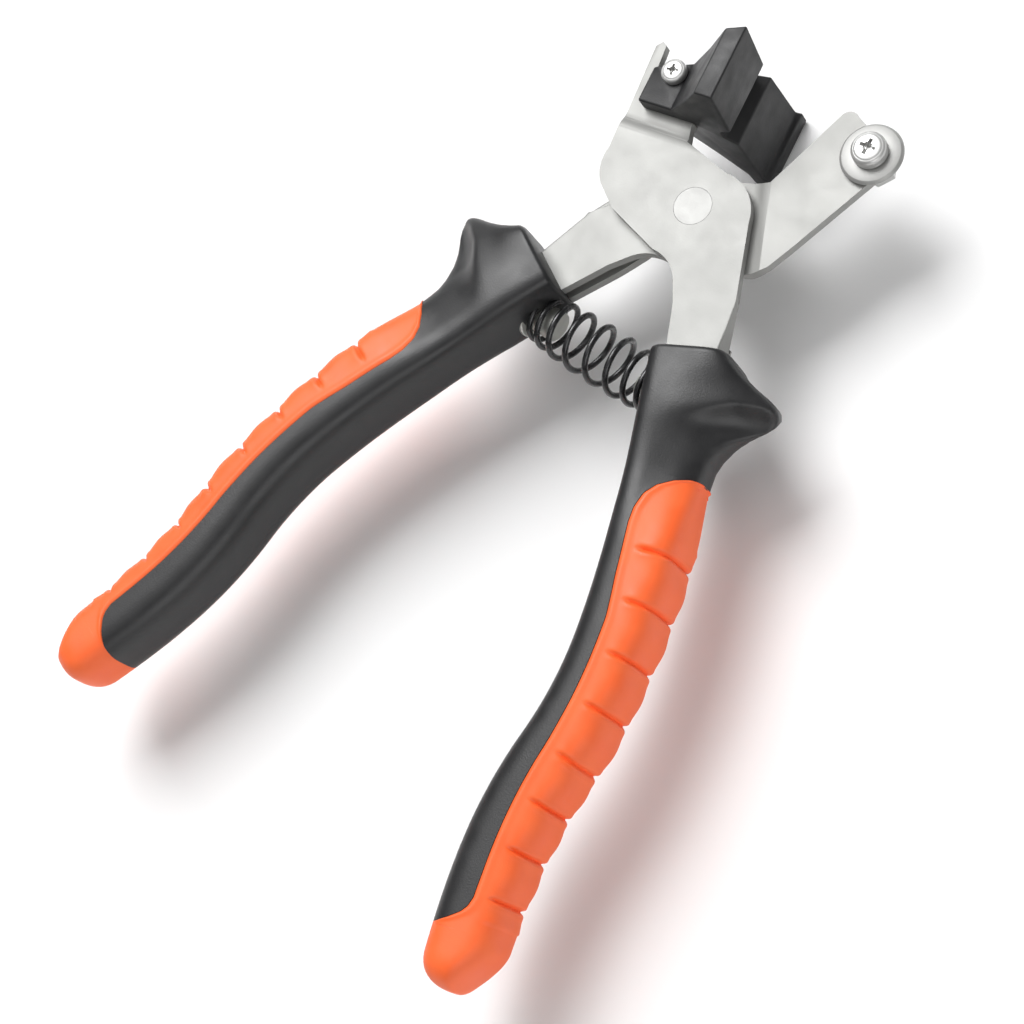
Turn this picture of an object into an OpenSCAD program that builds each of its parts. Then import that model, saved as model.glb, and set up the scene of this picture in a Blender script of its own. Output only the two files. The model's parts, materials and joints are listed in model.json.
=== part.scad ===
// Hand-held tile scoring and breaking pliers.
// Two pressed steel levers cross at a rivet. The front lever's jaw carries a winged breaker
// block, the rear lever's jaw has the breaking edge and a scoring wheel at its tip, and a
// coil spring holds the soft-grip handles open. The tool lies flat, jaws towards +Y.

/* [Steel sheet] */
// Thickness of the pressed steel
sheet_t = 2.4; // [1.8:0.1:2.6]
// Gap between the two head plates
head_gap = 0.3; // [0.2:0.05:0.5]
// Depth of the arms' channel, over both walls
channel_depth = 7.4; // [7.2:0.1:7.6]

/* [Pivot] */
// Radius of the rivet's shank
rivet_r = 3.6; // [3:0.1:4.5]
// Radius of the rivet's flush front head
rivet_head_r = 4.4; // [4.2:0.1:5]
// Running clearance, radial
running_gap = 0.05; // [0.02:0.01:0.1]

/* [Breaker block] */
// Width over both wings
block_width = 40.4; // [34:0.2:42]
// Length of the contact edges
block_length = 16.8; // [14:0.2:18]
// Thickness of a wing at its end
wing_t = 4.4; // [3:0.1:5]
// Depth of the stem behind the contact line
stem_depth = 24; // [23:0.1:25]
// Half thickness of the stem
stem_half = 5.5; // [4.8:0.1:6]
// Direction of the contact edges, from +X
block_angle = 100.8; // [99:0.1:102]
// Width of the rear wing's lobe
lobe_w = 4.6; // [2:0.1:6]

/* [Scoring wheel] */
// Diameter of the disc
wheel_d = 14; // [12:0.5:15]
// Thickness of the disc
wheel_t = 1.5; // [1.2:0.1:2]
// Radius of the axle screw's shank
axle_r = 2; // [1.5:0.1:2.2]

/* [Return spring] */
// Wire diameter
wire_d = 1.4; // [1:0.1:1.6]
// Outer diameter at the middle
spring_mid_d = 13.8; // [12:0.2:14]
// Outer diameter at the ends
spring_end_d = 10.8; // [10.6:0.2:11.4]
// Number of turns
spring_turns = 8.5; // [7:0.5:9]

/* [Grips] */
// Half thickness of a grip
grip_half_t = 9.6; // [9.2:0.1:10.5]
// Number of finger grooves on each grip
groove_count = 8; // [6:1:9]
// Distance between finger grooves
groove_pitch = 11; // [10:0.1:11.2]
// Depth of the scallops between the fingers
scallop = 0.8; // [0:0.1:1.2]

/* [Hidden] */

eps = 0.01;
far = 250;
plate_z = head_gap / 2;                  // inner face of each head plate
jaw_z = sheet_t / 2;                     // the jaws lie in the middle plane
wheel_at = [27.5, 28.7];
breaker_screw_at = [-21.4, 22.6];
spring_y = -37;                          // height of the spring's axis below the pivot
spring_z = -3.4;
spring_half = 18.4;                      // half the spring's length
seat_r = 3.5;                            // the post inside the spring
seat_flange_r = 5.6;
seat_flange_t = 1.2;
seat_x = spring_half + 0.05;             // where the spring's end bears on the flange

// The pivot is placed so that the tool's box is centred on the origin and stands on z = 0.
tip_y = wheel_at[1] + wheel_d / 2;
heel_y = -163.107;
pivot_at = [0, -(tip_y + heel_y) / 2, block_width / 2 + lobe_w];

// ---------- curves ----------

function arc(c, r, a0, a1, n = 12) =
    [for (i = [0:n]) let (a = a0 + (a1 - a0) * i / n) c + r * [cos(a), sin(a)]];
function bezier(p, t) = pow(1 - t, 3) * p[0] + 3 * t * pow(1 - t, 2) * p[1]
    + 3 * t * t * (1 - t) * p[2] + pow(t, 3) * p[3];
function slope(p, t) = 3 * pow(1 - t, 2) * (p[1] - p[0]) + 6 * t * (1 - t) * (p[2] - p[1])
    + 3 * t * t * (p[3] - p[2]);
function unit(v) = v / norm(v);

// Centre line of the front lever's arm and handle, in two cubic stretches.
upper_curve = [[14.5, -14], [27, -40], [49.1, -80], [49.5, -112]];
lower_curve = [[49.5, -112], [49.6, -132], [56, -148], [61.6, -163]];
function path(t) = t <= 1 ? bezier(upper_curve, t) : bezier(lower_curve, t - 1);
function heading(t) = unit(t <= 1 ? slope(upper_curve, t) : slope(lower_curve, t - 1));
function outward(t) = let (h = heading(t)) [-h[1], h[0]];
function beside(t0, t1, d, n = 16) =
    [for (i = [0:n]) let (t = t0 + (t1 - t0) * i / n) path(t) + d * outward(t)];

// ---------- levers ----------

// Inner edge and outer face of the arm, from its centre line; it narrows inside the grip.
function arm_in(t) = lookup(t, [[0.03, -6.8], [0.16, -6], [0.4, -4.5]]);
function arm_out(t) = lookup(t, [[0.03, 7.2], [0.16, 5.2], [0.4, 4.6]]);
tang_end = 1.72;        // where the steel ends inside the grip, along the path
wall_end = 0.46;        // where the channel becomes a flat tang
rear_wall_start = -0.06; // the rear lever's channel reaches up beside the rivet
fold_front = 99.8;      // direction in which the front lever's jaw steps back
fold_rear = 29.8;       // direction in which the rear lever's jaw steps forward

// Both edges are sampled at the same steps along the path, so sheet and web meet exactly.
function steps(t0, t1) = let (n = round(abs(t1 - t0) / 0.02))
    [for (i = [0:n]) t0 + (t1 - t0) * i / n];
function inner_edge(t0, t1) = [for (t = steps(t0, t1)) path(t) + arm_in(t) * outward(t)];
function outer_edge(t0, t1, inset = 0) =
    [for (t = steps(t0, t1)) path(t) + (arm_out(t) - inset) * outward(t)];
function arm_edges() = concat(inner_edge(0.04, tang_end), outer_edge(tang_end, 0.02));

// Head, arm and jaw of the front lever as one flat outline.
front_outline = concat(
    arc([3.5, -0.5], 10.5, 20, 100),
    [[-10.8, 11.6], [-12.6, 14.9], [-14.2, 29.2], [-25.8, 21.75], [-28.3, 22], [-30.1, 28.2],
     [-31.3, 28.6], [-32.2, 27]],
    arc([-16.2, 1.6], 9.6, 178, 232),
    [[-16, -9.4]],
    arc([-0.5, -21.6], 9.2, 98, 40));
rear_outline = concat(
    arc([-0.5, -0.5], 10.6, 176, 70),
    [[11.2, 13.2]],
    arc([17.9, 32.9], 2.3, 172, 55, 8),
    arc(wheel_at, 4.2, 110, -15),
    [[24.3, 2.6]],
    arc([14.8, 1.4], 8.8, -28, -82),
    arc([0.5, -21.6], 9.2, 82, 140));

// A flat outline pressed into a sheet whose jaw is stepped from z0 to z1 past the fold.
module pressed_sheet(outline, fold, v0, v1, z0, z1) {
    lean = (v1 - v0) > 0 ? abs(z1 - z0) / (v1 - v0) * sheet_t / 2 : 0;
    shift = z1 < z0 ? lean : -lean;
    intersection() {
        translate([0, 0, -10]) linear_extrude(20) polygon(outline);
        rotate([0, 0, fold]) rotate([90, 0, 0]) translate([0, 0, -far / 2])
            linear_extrude(far)
                polygon([[-far, z0], [v0 - shift, z0], [v1 - shift, z1], [far, z1],
                         [far, z1 + sheet_t], [v1 + shift, z1 + sheet_t],
                         [v0 + shift, z0 + sheet_t], [-far, z0 + sheet_t]]);
    }
}

// The arm's outer web and rear wall, which with the sheet's front wall make a channel.
// Both begin at start, along the path; a tapered web grows out of the sheet.
module channel(front_z, start, tapered) {
    back_z = front_z - channel_depth;
    difference() {
        translate([0, 0, back_z]) linear_extrude(channel_depth - eps)
            polygon(concat(outer_edge(start, wall_end, sheet_t), outer_edge(wall_end, start)));
        if (tapered) translate([path(start)[0], path(start)[1], front_z - sheet_t])
            rotate([0, 0, -64]) rotate([0, 22, 0]) translate([-20, -20, -20]) cube([40, 40, 20]);
    }
    translate([0, 0, back_z]) linear_extrude(sheet_t)
        polygon(concat(inner_edge(tapered ? start + 0.1 : start, wall_end),
                       outer_edge(wall_end, tapered ? start + 0.1 : start, eps)));
}

module front_lever() {
    color([0.82, 0.82, 0.79]) difference() {
        union() {
            pressed_sheet(concat(front_outline, arm_edges()), fold_front,
                          11.6, 14.1, plate_z, -jaw_z);
            channel(plate_z + sheet_t, 0.02, true);
        }
        cylinder(h = 20, r = rivet_r, center = true, $fn = 64);
        translate([0, 0, plate_z + sheet_t - 0.8])
            cylinder(h = 2, r = rivet_head_r, $fn = 64);
        translate([breaker_screw_at[0], breaker_screw_at[1], 0])
            cylinder(h = 6, r = 1.6, center = true, $fn = 48);
        seat_notch();
    }
}

module rear_lever() {
    color([0.80, 0.80, 0.77]) difference() {
        union() {
            pressed_sheet(concat(rear_outline, [for (p = arm_edges()) [-p[0], p[1]]]),
                          fold_rear, 13.6, 16.9, -plate_z - sheet_t, -jaw_z);
            mirror([1, 0, 0]) channel(-plate_z, rear_wall_start, false);
        }
        cylinder(h = 20, r = rivet_r + running_gap, center = true, $fn = 64);
        translate([wheel_at[0], wheel_at[1], 0])
            cylinder(h = 6, r = axle_r, center = true, $fn = 48);
        mirror([1, 0, 0]) seat_notch();
    }
}

// ---------- pivot ----------

rivet_tail_z = -plate_z - sheet_t - 0.7;
module pivot_rivet() {
    color([0.80, 0.79, 0.77]) {
        translate([0, 0, rivet_tail_z - 1.2]) cylinder(h = 1.2, r = 5, $fn = 64);
        translate([0, 0, rivet_tail_z])
            cylinder(h = plate_z + sheet_t - 0.8 - rivet_tail_z, r = rivet_r, $fn = 64);
        translate([0, 0, plate_z + sheet_t - 0.8])
            cylinder(h = 0.8, r = rivet_head_r, $fn = 64);
    }
}

module pivot_washer() {
    color([0.7, 0.7, 0.7]) difference() {
        translate([0, 0, rivet_tail_z]) cylinder(h = 0.6, r = 6.4, $fn = 64);
        cylinder(h = 20, r = rivet_r, center = true, $fn = 64);
    }
}

// ---------- breaker ----------

contact_foot = [-1.7, 17.9];             // lower end of the contact edges
face_recess = 1.2;
groove_mouth = 3;
groove_floor = 1.3;
groove_depth = 4.2;
plate_slot = 0.05;

// Section of the block: x runs back from the contact line, y is across the wings.
half_section = [[0, block_width / 2], [wing_t, block_width / 2],
                [9.8, 12.4], [15.4, stem_half], [stem_depth, stem_half]];
// The rear wing has a lobe beyond its contact edge, with a crease between them.
lobe_section = [[-0.7, -block_width / 2 - lobe_w], [-0.7, -block_width / 2 - 0.8],
                [0.5, -block_width / 2]];
lobe_back = [[wing_t - 0.6, -block_width / 2 - lobe_w]];
back_half = [for (i = [1:len(half_section) - 1]) half_section[i]];
face_half = [[groove_depth, groove_floor], [face_recess, groove_mouth]];
function flipped(p) = [for (i = [len(p) - 1:-1:0]) [p[i][0], -p[i][1]]];

module breaker_block() {
    color([0.16, 0.16, 0.17]) difference() {
        intersection() {
            translate([contact_foot[0], contact_foot[1], 0]) rotate([0, 0, block_angle])
                rotate([90, 0, 90]) linear_extrude(block_length + 6)
                    polygon(concat(face_half, half_section, flipped(back_half), lobe_back,
                                   lobe_section, flipped(face_half)));
            // The free end is cut aslant, longer at the wings than at the stem.
            translate([0, 0, -block_width]) linear_extrude(2 * block_width)
                polygon([[-40, 5], [20, 5], [20, 50.8], [-40, 13.4]]);
        }
        // Slot for the steel plate, and the screw's and nut's seats.
        translate([0, 0, -jaw_z - plate_slot]) linear_extrude(sheet_t + 2 * plate_slot)
            polygon([[-40, 5], [-10.4, 5], [-10.4, 11.6], [-12.5, 14.9], [-14.1, 29.3],
                     [-15, 40], [-40, 40]]);
        translate([breaker_screw_at[0], breaker_screw_at[1], 0]) {
            cylinder(h = 30, r = 1.6, center = true, $fn = 48);
            translate([0, 0, -stem_half - 1]) cylinder(h = 2, r = 3.2, $fn = 6);
        }
    }
}

// A cross recess, cut down from z = 0.
module cross_recess(w, depth) {
    for (a = [0, 90]) rotate([0, 0, a + 35])
        translate([0, 0, -depth / 2 + eps])
            cube([w, w / 5, depth], center = true);
}

// Pan-head screw: the head's underside is at z = 0 and the shank points down.
module pan_screw(head_r, head_h, shank_r, shank_l) {
    difference() {
        union() {
            cylinder(h = head_h * 0.45, r = head_r, $fn = 48);
            translate([0, 0, head_h * 0.45])
                cylinder(h = head_h * 0.55, r1 = head_r, r2 = head_r * 0.7, $fn = 48);
        }
        translate([0, 0, head_h]) cross_recess(head_r * 1.05, head_h * 0.6);
    }
    translate([0, 0, -shank_l]) cylinder(h = shank_l, r = shank_r, $fn = 48);
}

// Hexagon nut standing on z = 0.
module hex_nut(r, h, bore) {
    difference() {
        cylinder(h = h, r = r, $fn = 6);
        translate([0, 0, -1]) cylinder(h = h + 2, r = bore, $fn = 48);
    }
}

module breaker_screw() {
    color([0.85, 0.85, 0.84])
        translate([breaker_screw_at[0], breaker_screw_at[1], stem_half])
            pan_screw(2.9, 2, 1.5, 2 * stem_half + 1.6);
}

module breaker_nut() {
    color([0.75, 0.75, 0.74])
        translate([breaker_screw_at[0], breaker_screw_at[1], -stem_half - 1.4])
            hex_nut(3.1, 2.4, 1.5);
}

// ---------- scoring wheel ----------

bush_collar = 0.3;
wheel_z = jaw_z + bush_collar + 0.1;
bush_top = wheel_z + wheel_t + 0.3;
bush_r = 3;
washer_t = 0.6;

module at_wheel(z) {
    translate([wheel_at[0], wheel_at[1], z]) children();
}

module scoring_wheel() {
    color([0.72, 0.72, 0.72]) at_wheel(wheel_z) rotate_extrude($fn = 96)
        polygon([[bush_r + running_gap, 0], [wheel_d / 2 - 0.9, 0], [wheel_d / 2, wheel_t * 0.4],
                 [wheel_d / 2, wheel_t * 0.6], [wheel_d / 2 - 0.5, wheel_t],
                 [bush_r + running_gap, wheel_t]]);
}

module wheel_bush() {
    color([0.66, 0.62, 0.5]) at_wheel(jaw_z) difference() {
        union() {
            cylinder(h = bush_collar, r = bush_r + 1.2, $fn = 64);
            cylinder(h = bush_top - jaw_z, r = bush_r, $fn = 64);
        }
        translate([0, 0, -1]) cylinder(h = 8, r = axle_r, $fn = 48);
    }
}

module wheel_washer() {
    color([0.8, 0.8, 0.8]) at_wheel(bush_top) difference() {
        cylinder(h = washer_t, r = 3.9, $fn = 64);
        translate([0, 0, -1]) cylinder(h = 4, r = axle_r, $fn = 48);
    }
}

module wheel_screw() {
    color([0.9, 0.9, 0.9]) at_wheel(bush_top + washer_t)
        pan_screw(3.9, 2.5, axle_r, bush_top + washer_t + jaw_z + 1 + 3.2 + 0.6);
}

module wheel_lock_washer() {
    color([0.7, 0.7, 0.7]) at_wheel(-jaw_z - 1) difference() {
        cylinder(h = 1, r = 3.6, $fn = 64);
        translate([0, 0, -1]) cylinder(h = 4, r = axle_r, $fn = 48);
        translate([0, -0.4, -1]) cube([6, 0.8, 4]);
    }
}

module wheel_nut() {
    color([0.75, 0.75, 0.74]) at_wheel(-jaw_z - 1 - 3.2) hex_nut(4, 3.2, axle_r);
}

// ---------- return spring ----------

function coil_r(f) = spring_end_d / 2 - wire_d / 2
    + (spring_mid_d - spring_end_d) / 2 * sin(180 * f);
coil_steps = 20;
function coil_ring(f) = let (a = 360 * spring_turns * f, r = coil_r(f),
                             c = [-spring_half + wire_d / 2 + (2 * spring_half - wire_d) * f,
                                  spring_y + r * cos(a), spring_z + r * sin(a)])
    [for (j = [0:7]) let (b = 45 * j)
        c + wire_d / 2 * [sin(b), cos(b) * cos(a), cos(b) * sin(a)]];

// A closed skin over a row of rings that all have the same number of points.
module skin(rings) {
    n = len(rings[0]);
    m = len(rings);
    polyhedron(
        points = [for (r = rings) each r],
        faces = concat([[for (j = [0:n - 1]) j]],
                       [for (i = [0:m - 2], j = [0:n - 1])
                           [i * n + j, (i + 1) * n + j, (i + 1) * n + (j + 1) % n,
                            i * n + (j + 1) % n]],
                       [[for (j = [n - 1:-1:0]) (m - 1) * n + j]]),
        convexity = 10);
}

module return_spring() {
    total = ceil(spring_turns * coil_steps);
    color([0.12, 0.12, 0.12]) skin([for (i = [0:total]) coil_ring(i / total)]);
}

// The arm's two walls are cut square where the seat's flange bears on them.
module seat_notch() {
    translate([0, spring_y, spring_z]) rotate([0, 90, 0])
        cylinder(h = seat_x + seat_flange_t, r = seat_flange_r + 0.2, $fn = 64);
}

// A post with a flange, and a tongue that snaps between the walls of the arm's channel.
module spring_seat(front_z) {
    translate([0, spring_y, spring_z]) rotate([0, 90, 0]) {
        translate([0, 0, seat_x - 6]) cylinder(h = 6, r = seat_r, $fn = 48);
        translate([0, 0, seat_x]) cylinder(h = seat_flange_t, r = seat_flange_r, $fn = 48);
    }
    seat_tongue(front_z, 0.05);
}

module seat_tongue(front_z, play) {
    gap = channel_depth - 2 * sheet_t - 2 * play;
    translate([seat_x + seat_flange_t - eps, spring_y - 4 + play, front_z - sheet_t - gap - play])
        cube([7.5, 8 - 2 * play, gap]);
}

module front_spring_seat() {
    color([0.7, 0.7, 0.7]) spring_seat(plate_z + sheet_t);
}

module rear_spring_seat() {
    color([0.7, 0.7, 0.7]) mirror([1, 0, 0]) spring_seat(-plate_z);
}

// ---------- grips ----------

grip_start = 0.16;                       // top of the grip, along the path
ring_count = 44;
insert_skin = 2.2;                       // thickness of the soft orange skin
skin_ring = 4;                           // ring at which the skin's inner face begins
spring_pocket_r = 7.4;
grip_ts = [for (i = [0:ring_count]) grip_start + (2 - grip_start) * i / ring_count];
// Distance along the handle at each ring.
grip_s = [for (i = 0, s = 0; i <= ring_count;
               i = i + 1, s = i > ring_count ? s : s + norm(path(grip_ts[i]) - path(grip_ts[i - 1]))) s];
grip_len = grip_s[ring_count];
first_groove = 44.5;
function half_width(t) = lookup(t, [[0.16, 8], [0.3, 8.3], [0.5, 8.4], [0.8, 7.9],
                                    [1, 8.2], [1.3, 8], [1.7, 7.6], [2, 7.2]]);
// Rounding of the grip's far end, and its slight swell after the top.
function end_round(s) = let (d = max(0, s - grip_len + 8) / 8) pow(1 - pow(d, 2.6), 1 / 2.6);
function swell(s) = lookup(s, [[0, 0.95], [8, 1], [60, 1], [110, 0.95], [150, 0.95]]);
// Squareness of the section: nearly a rectangle at the top, rounder along the handle.
function roundness(s) = lookup(s, [[0, 0.44], [18, 0.55], [40, 0.68]]);
function finger(s) = let (k = (s - first_groove) / groove_pitch)
    k < -0.6 || k > groove_count - 0.4 ? 0 : scallop * (abs(sin(180 * k)) - 0.5);

function grip_ring(i, inset, sides) = let (t = grip_ts[i], s = grip_s[i], e = end_round(s),
        hw = max(0.3, half_width(t) * e - inset), ht = max(0.3, grip_half_t * swell(s) * e - inset),
        c = path(t), o = outward(t), q = roundness(s))
    [for (j = [0:sides - 1]) let (a = 360 * j / sides,
            x = sign(cos(a)) * pow(abs(cos(a)), q) * (hw + (cos(a) > 0 ? finger(s) * cos(a) : 0)),
            z = sign(sin(a)) * pow(abs(sin(a)), q) * ht)
        [c[0] + o[0] * x, c[1] + o[1] * x, z]];

module grip_body(inset, first) {
    skin([for (i = [first:ring_count]) grip_ring(i, inset, 24)]);
}

// The finger guard that stands out from the top of the grip.
module finger_guard() {
    difference() {
        hull() {
            translate([24, -31, 0]) cylinder(h = 14, r = 6, center = true, $fn = 24);
            translate([27, -40, 0]) cylinder(h = 14, r = 8, center = true, $fn = 24);
            translate([43, -30.6, 0]) sphere(r = 3, $fn = 24);
        }
        translate([52, -47.4, 0]) cylinder(h = 40, r = 12, center = true, $fn = 64);
    }
}

// The part of the grip that is soft and orange: its outer side and its whole heel.
module insert_zone() {
    translate([0, 0, -20]) linear_extrude(40)
        polygon(concat([[44, -46], [38.4, -50.4], [34.4, -56]],
                       beside(0.52, 1.6, -2.2, 16),
                       [path(1.68) - 1.6 * outward(1.68), path(1.7) - 3.4 * outward(1.7),
                        path(1.76) - 14 * outward(1.76)],
                       [[45, -172], [85, -172], [85, -46]]));
}

// Room for the steel inside the grip, and for the spring and its seat at the top.
module grip_room(front_z) {
    translate([0, 0, front_z - channel_depth]) linear_extrude(channel_depth)
        polygon(concat(inner_edge(0.05, wall_end), outer_edge(wall_end, 0.05)));
    translate([0, 0, front_z - sheet_t]) linear_extrude(sheet_t)
        polygon(concat(inner_edge(0.05, tang_end), outer_edge(tang_end, 0.05)));
    translate([0, spring_y, spring_z]) rotate([0, 90, 0])
        cylinder(h = seat_x + seat_flange_t, r = spring_pocket_r, $fn = 48);
    seat_tongue(front_z, 0);
}

module grip_core(front_z) {
    difference() {
        union() {
            difference() {
                union() {
                    grip_body(0, 0);
                    finger_guard();
                }
                insert_zone();
            }
            intersection() {
                grip_body(insert_skin, skin_ring);
                insert_zone();
            }
        }
        grip_room(front_z);
    }
}

module grip_insert(front_z) {
    difference() {
        intersection() {
            grip_body(0, 0);
            insert_zone();
        }
        grip_body(insert_skin, skin_ring);
        grip_room(front_z);
    }
}

module front_grip_core() {
    color([0.2, 0.2, 0.21]) grip_core(plate_z + sheet_t);
}

module front_grip_insert() {
    color([1, 0.38, 0.18]) grip_insert(plate_z + sheet_t);
}

module rear_grip_core() {
    color([0.2, 0.2, 0.21]) mirror([1, 0, 0]) grip_core(-plate_z);
}

module rear_grip_insert() {
    color([1, 0.38, 0.18]) mirror([1, 0, 0]) grip_insert(-plate_z);
}

translate(pivot_at) front_lever();
translate(pivot_at) rear_lever();
translate(pivot_at) pivot_rivet();
translate(pivot_at) pivot_washer();
translate(pivot_at) breaker_block();
translate(pivot_at) breaker_screw();
translate(pivot_at) breaker_nut();
translate(pivot_at) scoring_wheel();
translate(pivot_at) wheel_bush();
translate(pivot_at) wheel_screw();
translate(pivot_at) wheel_washer();
translate(pivot_at) wheel_lock_washer();
translate(pivot_at) wheel_nut();
translate(pivot_at) return_spring();
translate(pivot_at) front_spring_seat();
translate(pivot_at) rear_spring_seat();
translate(pivot_at) front_grip_core();
translate(pivot_at) front_grip_insert();
translate(pivot_at) rear_grip_core();
translate(pivot_at) rear_grip_insert();
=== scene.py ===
import bpy
import bmesh
import json
import math
import numpy as np
from mathutils import Matrix, Vector
from mathutils.geometry import interpolate_bezier


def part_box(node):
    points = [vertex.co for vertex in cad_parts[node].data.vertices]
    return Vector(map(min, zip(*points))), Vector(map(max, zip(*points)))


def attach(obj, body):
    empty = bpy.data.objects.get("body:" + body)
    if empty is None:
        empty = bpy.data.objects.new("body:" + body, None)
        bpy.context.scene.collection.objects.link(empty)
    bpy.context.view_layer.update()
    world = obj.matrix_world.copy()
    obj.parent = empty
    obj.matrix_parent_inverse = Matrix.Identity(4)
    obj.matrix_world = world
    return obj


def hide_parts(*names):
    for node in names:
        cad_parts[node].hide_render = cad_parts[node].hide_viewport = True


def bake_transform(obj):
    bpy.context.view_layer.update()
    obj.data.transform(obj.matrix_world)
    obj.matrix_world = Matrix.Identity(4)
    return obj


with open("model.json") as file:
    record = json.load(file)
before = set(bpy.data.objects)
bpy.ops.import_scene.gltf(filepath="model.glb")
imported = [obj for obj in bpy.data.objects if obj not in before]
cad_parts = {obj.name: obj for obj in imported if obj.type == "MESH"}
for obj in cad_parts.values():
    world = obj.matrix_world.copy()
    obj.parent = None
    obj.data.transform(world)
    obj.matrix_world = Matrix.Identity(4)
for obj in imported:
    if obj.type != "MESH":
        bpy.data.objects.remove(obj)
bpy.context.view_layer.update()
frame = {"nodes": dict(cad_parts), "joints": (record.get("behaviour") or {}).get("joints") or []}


# ---------- Camera, table and studio lights ----------
# The tool lies face up on a plain white table, jaws away from the viewer. One large soft
# lamp stands at the upper left, and the white room fills the shadows a little.

pivot_joint = next(j for j in frame["joints"] if j["name"] == "handle_pivot")
pivot = Vector(pivot_joint["pos_m"])

camera_data = bpy.data.cameras.new("camera")
camera_data.lens = 87.02
camera_data.sensor_width = 36
camera = bpy.data.objects.new("camera", camera_data)
bpy.context.scene.collection.objects.link(camera)
camera.location = pivot + Vector((0.25901, -0.0939, 0.46358))
camera.rotation_euler = [math.radians(a) for a in (19.157, 21.645, 39.242)]
bpy.context.scene.camera = camera
bpy.context.scene.view_settings.view_transform = "Standard"


def new_material(name, colour, roughness, metallic=0.0):
    """A node material with its main numbers on the shader's own sockets."""
    material = bpy.data.materials.new(name)
    material.use_nodes = True
    shader = material.node_tree.nodes["Principled BSDF"]
    shader.inputs["Base Color"].default_value = (*colour, 1)
    shader.inputs["Roughness"].default_value = roughness
    shader.inputs["Metallic"].default_value = metallic
    return material, material.node_tree, shader


table_half_size = 3
table_gap = 0.0002
floor_mesh = bmesh.new()
bmesh.ops.create_grid(floor_mesh, x_segments=2, y_segments=2, size=table_half_size)
bmesh.ops.translate(floor_mesh, verts=floor_mesh.verts, vec=(0, 0, -table_gap))
floor_data = bpy.data.meshes.new("floor")
floor_mesh.to_mesh(floor_data)
floor_mesh.free()
floor = bpy.data.objects.new("floor", floor_data)
bpy.context.scene.collection.objects.link(floor)
floor_material, floor_tree, floor_shader = new_material("white_table", (0.93, 0.93, 0.93), 0.9)
floor_speckle = floor_tree.nodes.new("ShaderNodeTexNoise")
floor_speckle.inputs["Scale"].default_value = 40
floor_bump = floor_tree.nodes.new("ShaderNodeBump")
floor_bump.inputs["Strength"].default_value = 0.02
floor_tree.links.new(floor_speckle.outputs["Fac"], floor_bump.inputs["Height"])
floor_tree.links.new(floor_bump.outputs["Normal"], floor_shader.inputs["Normal"])
floor_data.materials.append(floor_material)

world = bpy.data.worlds.new("white_room")
world.use_nodes = True
world.node_tree.nodes["Background"].inputs["Color"].default_value = (1, 1, 1, 1)
world.node_tree.nodes["Background"].inputs["Strength"].default_value = 0.2
bpy.context.scene.world = world


def soft_lamp(name, direction, distance, size, watts):
    """A square studio lamp that looks at the pivot from the given direction."""
    lamp_data = bpy.data.lights.new(name, "AREA")
    lamp_data.energy = watts
    lamp_data.size = size
    lamp = bpy.data.objects.new(name, lamp_data)
    bpy.context.scene.collection.objects.link(lamp)
    aim = Vector(direction).normalized()
    lamp.location = aim * distance
    lamp.rotation_euler = aim.to_track_quat("Z", "Y").to_euler()


soft_lamp("key_lamp", (-0.49, 0.29, 0.82), 1.3, 0.75, 17.5)
soft_lamp("top_lamp", (-0.1, -0.1, 1), 1.5, 1.2, 4)
soft_lamp("fill_lamp", (0.85, -0.35, 0.5), 1.4, 0.9, 6)


# ---------- Rear lever ----------
# The lever whose jaw carries the scoring wheel: 2.4 mm sheet steel, blanked, its jaw stepped
# forward and its arm folded into a channel, then tumbled and zinc plated to a satin finish.

MM = 0.001
edge_break = 0.3 * MM
bend_radius = 1.1 * MM
steel_colour = (0.34, 0.34, 0.328)
facet_turn = math.radians(12)   # edges that turn less only approximate a curve
edge_turn = math.radians(28)    # edges that turn more are broken
square_turn = math.radians(60)


def link_mesh(name, mesh, material):
    """A mesh made of a bmesh, in the scene at the origin, with one material."""
    data = bpy.data.meshes.new(name)
    mesh.to_mesh(data)
    mesh.free()
    piece = bpy.data.objects.new(name, data)
    bpy.context.scene.collection.objects.link(piece)
    data.materials.clear()
    data.materials.append(material)
    return piece


def merged_copy(node):
    """The node's solid with its triangles merged back into whole faces."""
    mesh = bmesh.new()
    mesh.from_mesh(frame["nodes"][node].data)
    bmesh.ops.remove_doubles(mesh, verts=mesh.verts, dist=4e-6)
    bmesh.ops.dissolve_degenerate(mesh, edges=mesh.edges, dist=2e-6)
    bmesh.ops.dissolve_limit(mesh, angle_limit=math.radians(1.2), verts=mesh.verts,
                             edges=mesh.edges)
    return mesh


def is_bend(edge):
    """True on an edge that a press brake would have folded: a step of the sheet, or a web."""
    if len(edge.link_faces) != 2:
        return False
    one, two = edge.link_faces
    turn = edge.calc_face_angle(0)
    if min(abs(one.normal.z), abs(two.normal.z)) > 0.7:
        return turn > facet_turn
    side = one if abs(one.normal.z) < 0.3 else two
    heights = [v.co.z for v in side.verts]
    return turn > square_turn and max(heights) - min(heights) > 5 * MM


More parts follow.
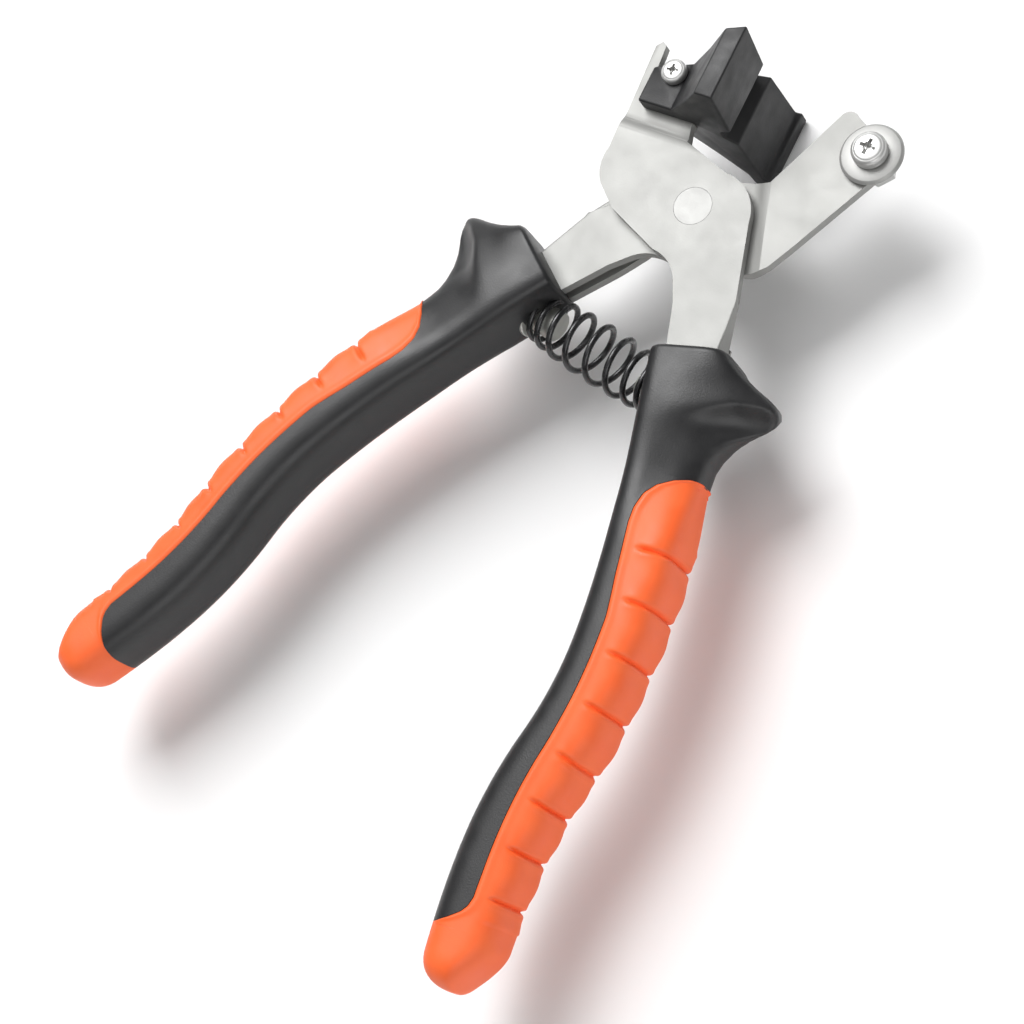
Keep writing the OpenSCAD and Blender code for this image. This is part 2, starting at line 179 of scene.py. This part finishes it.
def pressed_piece(name, node, material, width, bend=0.0, clamp=True):
    """A node's solid with its edges broken, and its bends rounded where bend is given."""
    mesh = merged_copy(node)
    layer = mesh.edges.layers.float.new("bevel_weight_edge")
    for edge in mesh.edges:
        turn = edge.calc_face_angle(0)
        if bend and turn > facet_turn and is_bend(edge):
            edge[layer] = 0.6 if turn > square_turn else 1
        elif facet_turn < turn < edge_turn:
            edge.smooth = False
    for face in mesh.faces:
        face.smooth = True
    piece = link_mesh(name, mesh, material)
    if bend:
        fold = piece.modifiers.new("folded_bends", "BEVEL")
        fold.limit_method = "WEIGHT"
        fold.width = bend
        fold.segments = 4
        fold.use_clamp_overlap = False
    broken = piece.modifiers.new("broken_edges", "BEVEL")
    broken.limit_method = "ANGLE"
    broken.angle_limit = edge_turn
    broken.width = width
    broken.segments = 3
    broken.miter_outer = "MITER_ARC"
    broken.use_clamp_overlap = clamp
    broken.harden_normals = not clamp
    if clamp:
        flat = piece.modifiers.new("flat_faces", "WEIGHTED_NORMAL")
        flat.keep_sharp = True
        flat.weight = 90
    return piece


def surface_group(name, sockets_in, sockets_out):
    """An empty shader group with the named inputs and outputs."""
    group = bpy.data.node_groups.new(name, "ShaderNodeTree")
    for label, kind, value in sockets_in:
        socket = group.interface.new_socket(label, in_out="INPUT", socket_type=kind)
        socket.default_value = value
    for label, kind in sockets_out:
        group.interface.new_socket(label, in_out="OUTPUT", socket_type=kind)
    return group, group.nodes.new("NodeGroupInput"), group.nodes.new("NodeGroupOutput")


def mottle_group():
    """Cloudy tone, roughness and bump of a tumbled or moulded surface, at a given scale."""
    group, given, result = surface_group(
        "mottled_surface",
        [("Cloud Scale", "NodeSocketFloat", 90.0), ("Grain Scale", "NodeSocketFloat", 1500.0),
         ("Bump", "NodeSocketFloat", 0.1), ("Dark", "NodeSocketColor", (0, 0, 0, 1)),
         ("Light", "NodeSocketColor", (1, 1, 1, 1)), ("Rough Low", "NodeSocketFloat", 0.4),
         ("Rough High", "NodeSocketFloat", 0.5)],
        [("Color", "NodeSocketColor"), ("Roughness", "NodeSocketFloat"),
         ("Normal", "NodeSocketVector")])
    nodes, links = group.nodes, group.links
    place = nodes.new("ShaderNodeTexCoord")
    cloud = nodes.new("ShaderNodeTexNoise")
    cloud.inputs["Detail"].default_value = 4
    grain = nodes.new("ShaderNodeTexNoise")
    grain.inputs["Detail"].default_value = 2
    for noise, scale in ((cloud, "Cloud Scale"), (grain, "Grain Scale")):
        links.new(place.outputs["Object"], noise.inputs["Vector"])
        links.new(given.outputs[scale], noise.inputs["Scale"])
    spread = nodes.new("ShaderNodeMapRange")
    spread.inputs["From Min"].default_value = 0.3
    spread.inputs["From Max"].default_value = 0.7
    links.new(cloud.outputs["Fac"], spread.inputs["Value"])
    mix = nodes.new("ShaderNodeMix")
    mix.data_type = "RGBA"
    links.new(spread.outputs["Result"], mix.inputs["Factor"])
    links.new(given.outputs["Dark"], mix.inputs[6])
    links.new(given.outputs["Light"], mix.inputs[7])
    rough = nodes.new("ShaderNodeMapRange")
    links.new(spread.outputs["Result"], rough.inputs["Value"])
    links.new(given.outputs["Rough Low"], rough.inputs["To Min"])
    links.new(given.outputs["Rough High"], rough.inputs["To Max"])
    bump = nodes.new("ShaderNodeBump")
    bump.inputs["Distance"].default_value = 0.0001
    links.new(given.outputs["Bump"], bump.inputs["Strength"])
    links.new(grain.outputs["Fac"], bump.inputs["Height"])
    links.new(mix.outputs[2], result.inputs["Color"])
    links.new(rough.outputs["Result"], result.inputs["Roughness"])
    links.new(bump.outputs["Normal"], result.inputs["Normal"])
    return group


mottle = mottle_group()


def mottled_material(name, dark, light, rough, metallic=0.0, cloud=90.0, grain=1500.0,
                     bump=0.1, coat=0.0):
    """A material whose colour and roughness drift between two values over the surface."""
    material, tree, shader = new_material(name, light, rough[1], metallic)
    shader.inputs["Coat Weight"].default_value = coat
    shader.inputs["Coat Roughness"].default_value = 0.25
    group = tree.nodes.new("ShaderNodeGroup")
    group.node_tree = mottle
    group.inputs["Cloud Scale"].default_value = cloud
    group.inputs["Grain Scale"].default_value = grain
    group.inputs["Bump"].default_value = bump
    group.inputs["Dark"].default_value = (*dark, 1)
    group.inputs["Light"].default_value = (*light, 1)
    group.inputs["Rough Low"].default_value = rough[0]
    group.inputs["Rough High"].default_value = rough[1]
    tree.links.new(group.outputs["Color"], shader.inputs["Base Color"])
    tree.links.new(group.outputs["Roughness"], shader.inputs["Roughness"])
    tree.links.new(group.outputs["Normal"], shader.inputs["Normal"])
    return material


satin_steel = mottled_material("satin_steel", [c * 0.93 for c in steel_colour], steel_colour,
                               (0.46, 0.56), metallic=0.35, cloud=130, grain=2200, bump=0.12)
rear_lever = pressed_piece("rear_lever_pressed", "rear_lever", satin_steel, edge_break,
                           bend_radius)
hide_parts("rear_lever")
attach(rear_lever, "rear_side")


# ---------- Front lever ----------
# The lever that carries the breaker block, of the same sheet. Its jaw steps back behind the
# head plate, so that both jaws meet in the tool's middle plane.

front_lever = pressed_piece("front_lever_pressed", "front_lever", satin_steel, edge_break,
                            bend_radius)
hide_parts("front_lever")
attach(front_lever, "front_side")


# ---------- Pivot rivet and its washer ----------
# A solid steel rivet, its front head set flush in the head plate and ground with it, its tail
# peened over a loose washer behind.

rivet_steel = mottled_material("ground_rivet_steel", (0.35, 0.35, 0.34), (0.38, 0.38, 0.37),
                               (0.44, 0.54), metallic=0.35, cloud=300, grain=2600)
rivet = pressed_piece("pivot_rivet_ground", "pivot_rivet", rivet_steel, 0.12 * MM)
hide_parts("pivot_rivet")
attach(rivet, "front_side")

hardware_steel = mottled_material("plated_hardware", (0.52, 0.52, 0.51), (0.60, 0.60, 0.59),
                                  (0.3, 0.4), metallic=0.6, cloud=400, grain=3000,
                                  bump=0.05)
pivot_washer = pressed_piece("pivot_washer_plated", "pivot_washer", hardware_steel, 0.1 * MM)
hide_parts("pivot_washer")
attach(pivot_washer, "front_side")


# ---------- Breaker block ----------
# Glass-filled black nylon, moulded in one with its two wings and slipped over the front jaw.
# The wings press on a tile at both sides of the scored line.

block_plastic = mottled_material("black_nylon", (0.009, 0.009, 0.01), (0.014, 0.014, 0.015),
                                 (0.42, 0.6), cloud=220, grain=2600, bump=0.35)
block = pressed_piece("breaker_block_moulded", "breaker_block", block_plastic, 0.45 * MM,
                      clamp=False)
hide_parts("breaker_block")
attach(block, "front_side")


# ---------- Breaker screw and nut ----------
# A small plated pan-head screw with a cross recess goes through the block and the jaw, with
# a hexagon nut behind. A screw is turned here by spinning half its outline.

turned_sharp = math.radians(35)


def lathe(name, outline, centre, material, steps=96):
    """A turned part about +Z through centre. Its outline is (radius, height) in mm."""
    mesh = bmesh.new()
    points = [mesh.verts.new((r * MM, 0, z * MM)) for r, z in outline]
    edges = [mesh.edges.new(pair) for pair in zip(points, points[1:])]
    bmesh.ops.spin(mesh, geom=points + edges, cent=(0, 0, 0), axis=(0, 0, 1),
                   angle=math.tau, steps=steps, use_merge=True)
    bmesh.ops.remove_doubles(mesh, verts=mesh.verts, dist=1e-7)
    bmesh.ops.recalc_face_normals(mesh, faces=mesh.faces)
    bmesh.ops.translate(mesh, verts=mesh.verts, vec=centre)
    for face in mesh.faces:
        face.smooth = True
    piece = link_mesh(name, mesh, material)
    piece.data.set_sharp_from_angle(angle=turned_sharp)
    return piece


def cut(piece, cutter):
    """The piece less the cutter, which is used up."""
    knife = piece.modifiers.new("cut", "BOOLEAN")
    knife.object = cutter
    knife.solver = "EXACT"
    evaluated = piece.evaluated_get(bpy.context.evaluated_depsgraph_get())
    result = bpy.data.meshes.new_from_object(evaluated)
    piece.modifiers.clear()
    piece.data = result
    bpy.data.objects.remove(cutter)
    piece.data.set_sharp_from_angle(angle=turned_sharp)


def cut_cross(screw, centre, width, depth, turn):
    """A cross recess: two tapered blades at right angles, and a square where they cross.
    Each cuts a little deeper than the last, so that no two floors lie in one plane."""
    for across, along in ((width / 2, width / 9), (width / 9, width / 2.02),
                          (width / 4.6, width / 4.5)):
        mesh = bmesh.new()
        for vert in bmesh.ops.create_cube(mesh, size=2)["verts"]:
            taper = 1.1 if vert.co.z > 0 else 0.6
            vert.co = Vector((vert.co.x * across * taper, vert.co.y * along * taper,
                              vert.co.z * depth))
        bmesh.ops.rotate(mesh, verts=mesh.verts, matrix=Matrix.Rotation(turn, 3, "Z"))
        bmesh.ops.translate(mesh, verts=mesh.verts, vec=centre)
        cut(screw, link_mesh("blade", mesh, hardware_steel))
        depth *= 1.07


def pan_head_screw(name, node, head_r, head_h, shank_r, turn):
    """A pan-head screw on the node's axis, its head's top at the node's top."""
    low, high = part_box(node)
    axis = (low + high) / 2
    length = (high.z - low.z) / MM
    crown = head_h * 0.28
    chamfer = 0.12
    tip = 0.3
    outline = [(0, 0)] + [
        (head_r * 0.80 * math.sin(math.radians(a)) ** 0.9,
         -crown * 0.55 * (1 - math.cos(math.radians(a)))) for a in range(15, 91, 15)]
    shoulder = outline[-1]
    outline += [(shoulder[0] + (head_r - shoulder[0]) * math.sin(math.radians(a)),
                 shoulder[1] - head_h * 0.42 * (1 - math.cos(math.radians(a))))
                for a in range(15, 91, 15)]
    outline += [(head_r, -head_h + chamfer), (head_r - chamfer, -head_h), (shank_r, -head_h),
                (shank_r, -length + tip), (shank_r - tip, -length), (0, -length)]
    top = Vector((axis.x, axis.y, high.z))
    screw = lathe(name, outline, top, hardware_steel)
    cut_cross(screw, top, head_r * 1.15 * MM, head_h * 0.6 * MM, turn)
    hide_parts(node)
    return screw


breaker_screw = pan_head_screw("breaker_screw_turned", "breaker_screw", 2.9, 2, 1.5, 0.35)
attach(breaker_screw, "front_side")
breaker_nut = pressed_piece("breaker_nut_plated", "breaker_nut", hardware_steel, 0.15 * MM)
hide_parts("breaker_nut")
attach(breaker_nut, "front_side")


# ---------- Scoring wheel and its bush ----------
# A hardened steel disc, ground to a blunt cutting rim, that turns on a collared brass bush.

wheel_low, wheel_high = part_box("scoring_wheel")
wheel_centre = (wheel_low + wheel_high) / 2
wheel_r = (wheel_high.x - wheel_low.x) / 2 / MM
wheel_t = (wheel_high.z - wheel_low.z) / MM
wheel_bore = 3.05
bore_break = 0.15
wheel_steel = mottled_material("ground_wheel_steel", (0.34, 0.34, 0.33), (0.40, 0.40, 0.39),
                               (0.4, 0.5), metallic=0.4, cloud=260, grain=2600, bump=0.08)
wheel_outline = [(wheel_bore, bore_break), (wheel_bore + bore_break, 0), (wheel_r - 0.9, 0),
                 (wheel_r - 0.05, wheel_t * 0.42), (wheel_r, wheel_t * 0.5),
                 (wheel_r - 0.05, wheel_t * 0.6), (wheel_r - 0.5, wheel_t - 0.06),
                 (wheel_r - 0.62, wheel_t), (wheel_bore + bore_break, wheel_t),
                 (wheel_bore, wheel_t - bore_break), (wheel_bore, bore_break)]
wheel = lathe("scoring_wheel_ground", wheel_outline,
              (wheel_centre.x, wheel_centre.y, wheel_low.z), wheel_steel, steps=128)
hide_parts("scoring_wheel")
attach(wheel, "wheel")

bush_brass = mottled_material("bush_brass", (0.62, 0.47, 0.22), (0.72, 0.56, 0.28),
                              (0.3, 0.42), metallic=0.9, cloud=300)
bush = pressed_piece("wheel_bush_brass", "wheel_bush", bush_brass, 0.1 * MM)
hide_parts("wheel_bush")
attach(bush, "rear_side")


# ---------- Wheel screw, washers and nut ----------
# The axle is a bright plated pan-head screw. A plain washer lies under its head, and a split
# lock washer and a hexagon nut hold it behind the jaw.

wheel_screw = pan_head_screw("wheel_screw_turned", "wheel_screw", 3.9, 2.5, 2, 0.1)
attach(wheel_screw, "rear_side")
for node in ("wheel_washer", "wheel_lock_washer", "wheel_nut"):
    small = pressed_piece(node + "_plated", node, hardware_steel, 0.12 * MM)
    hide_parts(node)
    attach(small, "rear_side")


# ---------- Return spring and its seats ----------
# Black-oxide music wire, wound as a barrel with closed ends. Each end sits over the post of a
# turned steel seat whose tongue snaps into the arm's channel.

seat_steel = mottled_material("seat_steel", (0.55, 0.55, 0.52), (0.66, 0.66, 0.62),
                              (0.35, 0.5), metallic=0.6, cloud=300)
for node, body in (("front_spring_seat", "front_side"), ("rear_spring_seat", "rear_side")):
    seat = pressed_piece(node + "_turned", node, seat_steel, 0.3 * MM)
    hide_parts(node)
    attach(seat, body)

spring_low, spring_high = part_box("return_spring")
spring_mid = (spring_low + spring_high) / 2
wire_r = 0.7 * MM
spring_half = (spring_high.x - spring_low.x) / 2 - wire_r
coil_r_mid = (spring_high.z - spring_low.z) / 2 - wire_r
coil_r_end = 4.7 * MM
spring_turns = 8.5
end_crowding = 0.11     # how much closer together the end turns lie than the middle ones
points_per_turn = 36
point_count = round(spring_turns * points_per_turn)
spring_curve = bpy.data.curves.new("return_spring_wire", "CURVE")
spring_curve.dimensions = "3D"
spring_curve.bevel_depth = wire_r
spring_curve.bevel_resolution = 4
spring_curve.use_fill_caps = True
wire = spring_curve.splines.new("POLY")
wire.points.add(point_count)
for i in range(point_count + 1):
    part = i / point_count
    turn = math.tau * spring_turns * part
    along = part - end_crowding * math.sin(math.tau * part) / math.tau * 4
    coil_r = coil_r_end + (coil_r_mid - coil_r_end) * math.sin(math.pi * part)
    wire.points[i].co = (spring_mid.x + spring_half * (2 * along - 1) * 0.999,
                         spring_mid.y + coil_r * math.cos(turn),
                         spring_mid.z + coil_r * math.sin(turn), 1)
spring_line = bpy.data.objects.new("spring_line", spring_curve)
bpy.context.scene.collection.objects.link(spring_line)
bpy.context.view_layer.update()
spring_data = bpy.data.meshes.new_from_object(spring_line)
bpy.data.objects.remove(spring_line)
spring = bpy.data.objects.new("return_spring_wound", spring_data)
bpy.context.scene.collection.objects.link(spring)
for polygon in spring_data.polygons:
    polygon.use_smooth = True
spring_black = mottled_material("black_oxide_wire", (0.012, 0.012, 0.013), (0.035, 0.035, 0.037),
                                (0.2, 0.34), metallic=0.5, cloud=700, grain=4000, coat=0.5)
spring_data.materials.clear()
spring_data.materials.append(spring_black)
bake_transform(spring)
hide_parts("return_spring")


# ---------- Grips ----------
# Each arm's tang sits in a two-shot grip: a hard dark core with a flared finger guard at its
# top, and a soft orange cushion over its outer side and heel, with eight finger grooves.
# All lengths are in mm until the rings' points are placed.

upper_curve = [(14.5, -14), (27, -40), (49.1, -80), (49.5, -112)]
lower_curve = [(49.5, -112), (49.6, -132), (56, -148), (61.6, -163)]
grip_start = 0.16
curve_steps = 500
upper_points = interpolate_bezier(*[Vector(p) for p in upper_curve], curve_steps + 1)
lower_points = interpolate_bezier(*[Vector(p) for p in lower_curve], curve_steps + 1)
line = np.array([p[:] for p in upper_points[round(grip_start * curve_steps):]
                 + lower_points[1:]], float)[:, :2]
line_s = np.concatenate([[0], np.cumsum(np.linalg.norm(np.diff(line, axis=0), axis=1))])
line_out = np.gradient(line, axis=0)
line_out = np.stack([-line_out[:, 1], line_out[:, 0]], axis=1)
line_out /= np.linalg.norm(line_out, axis=1)[:, None]
grip_len = line_s[-1]


def eased(s, knots, reach=2.5):
    """A value along the grip from (distance, value) knots, its corners rounded off."""
    at, value = zip(*knots)
    return float(np.mean([np.interp(s + reach * d, at, value)
                          for d in (-1, -0.6, -0.2, 0.2, 0.6, 1)]))


# Outer edge, inner edge and half thickness along the grip, from its top.
body_side = [(0, 8), (14.6, 8.3), (36.7, 8.4), (69.7, 7.9), (89.9, 8.2), (107, 8.1),
             (127.8, 7.6), (142.6, 7.2)]
guard_edge = [(0, 9.4), (2, 10.8), (4.6, 13.4), (6.8, 16.4), (8.4, 19), (9.8, 20.6),
              (11.6, 21.1), (13.3, 20.6), (14.8, 18.7), (16.4, 15.7), (18.4, 12.5), (21, 10.2),
              (23.5, 9), (27, 8.5), (30, 8.3)]
half_thickness = [(0, 9.1), (8, 9.5), (30, 9.3), (60, 9.5), (110, 9.1), (142.6, 9.1)]
squareness = [(0, 0.36), (14, 0.40), (26, 0.48), (50, 0.54), (75, 0.66), (142.6, 0.68)]
crease_line = [(-8, 16.8), (0, 15.2), (6.7, 13.4), (12.8, 11.2), (18, 10.8), (23, 11.6)]
first_groove = 44.6
groove_pitch = 11.05
groove_count = 8
groove_at = [first_groove + groove_pitch * i for i in range(groove_count)]
seam_line = [(27.4, 12), (27.9, 6.5), (28.8, 3.6), (30.4, 0.6), (32.7, -1.5), (36, -2.6),
             (39.5, -2.8), (51, -2), (60, -0.8), (84, -0.4), (100, 0.4), (118, 1.2),
             (122.8, 1.3), (124.8, 0.7), (126.3, -0.4), (128, -2.8), (129.4, -5.4),
             (130.4, -9)]
cushion_start = 27.45
cushion_wall = 1.4
bed_depth = 1.6         # the core is sunk by this much under the cushion
core_end = grip_len - 7.7
seam_closed = 129.95
heel_len = 7
heel_tip = grip_len - 0.65
heel_power = 2.4
outline_steps = 720     # round each section; its outermost point is half way


def smoothstep(low, high, value):
    """A smooth rise from 0 at low to 1 at high."""
    share = np.clip((value - low) / (high - low), 0, 1)
    return share * share * (3 - 2 * share)


def ring_places():
    """Distances of the rings from the grip's top, closer at the guard, seams and grooves."""
    places = [0, 0.12, 0.3, 0.55, 0.9, 1.4]
    places += list(np.arange(2, 34, 0.5)) + list(np.arange(34, 122.5, 1.1))
    places += list(np.arange(122.5, 131.5, 0.45))
    places += list(np.arange(131.5, heel_tip - heel_len, 0.9))
    for centre in groove_at:
        places += [centre + d for d in (-1.6, -1.05, -0.7, -0.42, -0.2, 0, 0.2, 0.42, 0.7,
                                        1.05, 1.6)]
    places += list(np.arange(27.3, 28.6, 0.04)) + list(np.arange(28.6, 31.5, 0.2))
    places += list(np.arange(128.8, 130.6, 0.06))
    places = sorted(places)
    return [a for a, b in zip(places, places[1:] + [1e9]) if b - a > 0.02]


def end_places():
    """Rings over the rounded heel, closing on its tip."""
    return [heel_tip - heel_len * (1 - math.sin(math.radians(a))) for a in
            (0, 8, 16, 24, 32, 40, 48, 55, 61, 67, 72, 77, 81, 85, 88, 90)]


def outline_at(s, shrink):
    """The section's x and z, from its inner side round the outer one and back."""
    heel = max(0.0, (s - heel_tip + heel_len) / heel_len)
    heel_share = max(0.02, (1 - heel ** heel_power) ** (1 / heel_power)) if heel < 1 else 0.02
    top_share = 1 - 0.6 * (1 - min(1, s / 0.9)) ** 2 / 9.0
    wide = eased(s, body_side) * top_share
    side = wide * heel_share - shrink
    guard = eased(s, guard_edge, 0.4) * top_share if s < 30 else side + shrink
    guard -= shrink
    thick = eased(s, half_thickness) * heel_share * top_share - shrink
    side, thick, guard = max(side, 0.1), max(thick, 0.1), max(guard, 0.1)
    power = eased(s, squareness)
    angle = np.linspace(-math.pi, math.pi, outline_steps + 1)
    across = np.sign(np.cos(angle)) * np.abs(np.cos(angle)) ** power
    height = np.sign(np.sin(angle)) * np.abs(np.sin(angle)) ** power
    stretch = max(0.0, guard - side)
    outer = np.clip(across, 0, 1)
    x = across * side + stretch * outer ** 1.15
    slant = 5.2 * float(smoothstep(heel_tip - 11, heel_tip, s)) * heel_share
    x -= slant * outer ** 0.8
    taper = 1 - 0.56 * smoothstep(0.0, 13, stretch * np.ones_like(x)) * outer ** 1.6
    z = height * thick * taper
    if s < 44:
        crease = np.interp(x, *zip(*crease_line))
        soft = np.interp(x, (-8, 0, 8, 16), (2.2, 1.0, 0.4, 0.22))
        past = soft * np.log1p(np.exp(np.clip((s - crease) / soft, -30, 30)))
        depth = np.interp(x, (-8, -3, 4, 9, 15, 22), (0.5, 1.1, 2.8, 4.2, 4.9, 4.6))
        length = np.interp(x, (-8, 0, 9, 22), (6, 4, 2.3, 1.5))
        drop = depth * (1 - np.exp(-past / length)) * (1 - smoothstep(25, 44, s))
        z *= 1 - np.clip(drop / np.maximum(thick * taper, 0.1), 0, 0.86)
    return x, z


def groove_depth(s, x, z, side):
    """How far the cushion's skin is pushed in at a finger groove, or out between two."""
    nearest = min(abs(s - g) for g in groove_at)
    inner_end = np.interp(s, (44.5, 66.7, 121.7), (0.6, 1.8, 3.6))
    reach = smoothstep(inner_end - 0.3, inner_end + 0.9, x)
    line_cut = 0.85 * math.exp(-(nearest / 0.4) ** 2)
    lip = 0.14 * math.exp(-((nearest - 1.2) / 0.6) ** 2)
    inside = groove_at[0] - 5 < s < groove_at[-1] + 5
    swell = 0.34 * math.cos(math.tau * (s - first_groove) / groove_pitch) if inside else 0
    edge = smoothstep(side * 0.35, side, x)
    return reach * (line_cut - lip) + edge * (swell + 0.1)


def perimeter(x, z):
    """Length along a section's outline at each of its points."""
    return np.concatenate([[0], np.cumsum(np.hypot(np.diff(x), np.diff(z)))])


def ring(s, shrink, part, columns, rise=None):
    """Points of one ring. part 'core' runs round the inner side from seam to seam, and
    'cushion' round the outer side; columns are shares of the way, 0 and 1 at the seams."""
    x, z = outline_at(s, shrink)
    seam_x = np.interp(s, *zip(*seam_line)) if s > cushion_start else 99
    length = perimeter(x, z)
    total = length[-1]
    upper = np.arange(len(x)) >= outline_steps // 2
    candidates = np.where(upper & (z >= 0))[0]
    middle = length[outline_steps // 2]
    if seam_x >= x[candidates].max():
        seam = middle
    elif seam_x <= x[candidates].min():
        seam = total
    else:
        order = candidates[np.argsort(x[candidates])]
        seam = float(np.interp(seam_x, x[order], length[order]))
    half = seam - middle
    if part == "cushion":
        at = middle - half + 2 * half * columns
    else:
        at = (seam + (total - 2 * half) * columns) % total
        at = np.where(np.isclose(columns, 1), middle - half, at)
        at = np.where(np.isclose(columns, 0), seam, at)
    px = np.interp(at, length, x)
    pz = np.interp(at, length, z)
    tangent = np.stack([np.interp(at + 0.15, length, x) - np.interp(at - 0.15, length, x),
                        np.interp(at + 0.15, length, z) - np.interp(at - 0.15, length, z)])
    size = np.maximum(np.hypot(*tangent), 1e-9)
    normal = np.stack([tangent[1] / size, -tangent[0] / size])
    if rise is not None:
        seam_gap = np.minimum(at - (middle - half), (middle + half) - at)
        lift = rise(s, px, pz, seam_gap, half, eased(s, body_side))
        px, pz = px + normal[0] * lift, pz + normal[1] * lift
    centre = np.array([np.interp(s, line_s, line[:, k]) for k in (0, 1)])
    out = np.array([np.interp(s, line_s, line_out[:, k]) for k in (0, 1)])
    out /= np.linalg.norm(out)
    return np.stack([centre[0] + out[0] * px, centre[1] + out[1] * px, pz], axis=1)


def place_grid(rows):
    """A grid mesh whose rows of vertices lie on the given rings."""
    mesh = bmesh.new()
    bmesh.ops.create_grid(mesh, x_segments=len(rows[0]) - 1, y_segments=len(rows) - 1, size=1)
    mesh.verts.ensure_lookup_table()
    count = len(rows[0])
    for j, row in enumerate(rows):
        for i, point in enumerate(row):
            mesh.verts[j * count + i].co = Vector(point) * MM + pivot
    return mesh


def cushion_rise(s, x, z, seam_gap, half, side):
    """Height of the cushion over the plain section: its rolled rim, less its grooves."""
    rim = 0.30 * np.exp(-((seam_gap - 1.0) / 0.75) ** 2) - 0.32 * np.exp(-seam_gap / 0.22)
    rim *= np.clip(half / 3, 0, 1) * (1 - smoothstep(128.4, 129.8, s))
    return rim - groove_depth(s, x, z, side) * smoothstep(2.5, 5, seam_gap)


fine = np.array([0, 0.1, 0.22, 0.4, 0.62, 0.9, 1.25, 1.7, 2.3, 3.0])
cushion_columns = np.concatenate([fine / 40, np.linspace(3.8 / 40, 1 - 3.8 / 40, 44),
                                  1 - fine[::-1] / 40])
core_columns = np.concatenate([[0, 0.004, 0.01, 0.02], np.linspace(0.035, 0.965, 72),
                               [0.98, 0.99, 0.996, 1]])
bed_columns = np.linspace(0, 1, 24)


def core_rows():
    """The core's rings: its own surface round the inner side, then the cushion's bed."""
    rows = []
    for s in [p for p in ring_places() if p < core_end] + [core_end]:
        sunk = bed_depth if s > seam_closed else 0
        shown = ring(s, sunk, "core", core_columns)
        bed = ring(s, bed_depth * float(smoothstep(27.75, 28.4, s)), "cushion", bed_columns)
        rows.append(np.concatenate([shown, bed, shown[:1]]))
    return rows


def clean_up(mesh):
    """Merges what meets, and deletes what is left of faces that closed up."""
    bmesh.ops.remove_doubles(mesh, verts=mesh.verts, dist=1.5e-5)
    bmesh.ops.dissolve_degenerate(mesh, edges=mesh.edges, dist=1e-6)
    bmesh.ops.delete(mesh, geom=[e for e in mesh.edges if not e.link_faces], context="EDGES")
    bmesh.ops.delete(mesh, geom=[v for v in mesh.verts if not v.link_faces], context="VERTS")


def close_holes(mesh):
    """Caps the open rims at the grip's ends, and points every face outwards."""
    clean_up(mesh)
    rims = [e for e in mesh.edges if e.is_boundary]
    bmesh.ops.holes_fill(mesh, edges=rims, sides=0)
    bmesh.ops.recalc_face_normals(mesh, faces=mesh.faces)
    for face in mesh.faces:
        face.smooth = len(face.verts) < 5


grip_dark = mottled_material("moulded_grip", (0.013, 0.013, 0.014), (0.02, 0.02, 0.021),
                             (0.36, 0.46), cloud=180, grain=2600, bump=0.3)
grip_orange = mottled_material("soft_cushion", (0.98, 0.135, 0.026), (1.0, 0.16, 0.036),
                               (0.44, 0.58), cloud=150, grain=3000, bump=0.25)
core_rings = core_rows()
cushion_rings = [ring(s, 0, "cushion", cushion_columns, cushion_rise)
                 for s in ring_places() + end_places() if s > cushion_start]
cushion_rings[-1][:] = cushion_rings[-1].mean(axis=0)

for side, body in ((1, "front_side"), (-1, "rear_side")):
    label = "front" if side > 0 else "rear"
    flip = np.array([side, 1, 1])
    core_mesh = place_grid([row * flip for row in core_rings])
    close_holes(core_mesh)
    core = link_mesh(label + "_grip_core_moulded", core_mesh, grip_dark)
    core.data.set_sharp_from_angle(angle=math.radians(50))
    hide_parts(label + "_grip_core")
    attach(core, body)

    cushion_mesh = place_grid([row * flip for row in cushion_rings])
    clean_up(cushion_mesh)
    bmesh.ops.recalc_face_normals(cushion_mesh, faces=cushion_mesh.faces)
    probe = max(cushion_mesh.faces, key=lambda f: side * f.calc_center_median().x)
    if probe.normal.x * side < 0:
        bmesh.ops.reverse_faces(cushion_mesh, faces=cushion_mesh.faces)
    for face in cushion_mesh.faces:
        face.smooth = True
    cushion = link_mesh(label + "_grip_cushion", cushion_mesh, grip_orange)
    wall = cushion.modifiers.new("wall", "SOLIDIFY")
    wall.thickness = cushion_wall * MM
    wall.offset = -1
    cushion.data.set_sharp_from_angle(angle=math.radians(60))
    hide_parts(label + "_grip_insert")
    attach(cushion, body)
